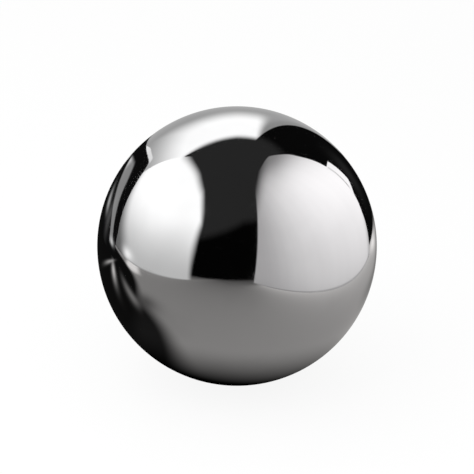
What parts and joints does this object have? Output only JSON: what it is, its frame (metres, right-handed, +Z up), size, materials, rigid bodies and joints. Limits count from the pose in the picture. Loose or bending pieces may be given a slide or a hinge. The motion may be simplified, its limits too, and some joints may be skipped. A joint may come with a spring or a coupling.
{
  "type": "steel ball",
  "caption": "Solid ball of polished bearing steel, a plain sphere with a mirror finish, no bore and no flat.",
  "frame": {"origin": "centre of the ball", "axes": "+Z up; the ball is the same about every axis, and the view with azimuth 0 looks along +Y with +X to the right"},
  "size_m": [0.05, 0.05, 0.05],
  "materials": {
    "polished_steel": "bearing steel, ground and lapped to a mirror, not plated"
  },
  "bodies": {
    "root": {"ball": "polished_steel"}
  },
  "joints": []
}
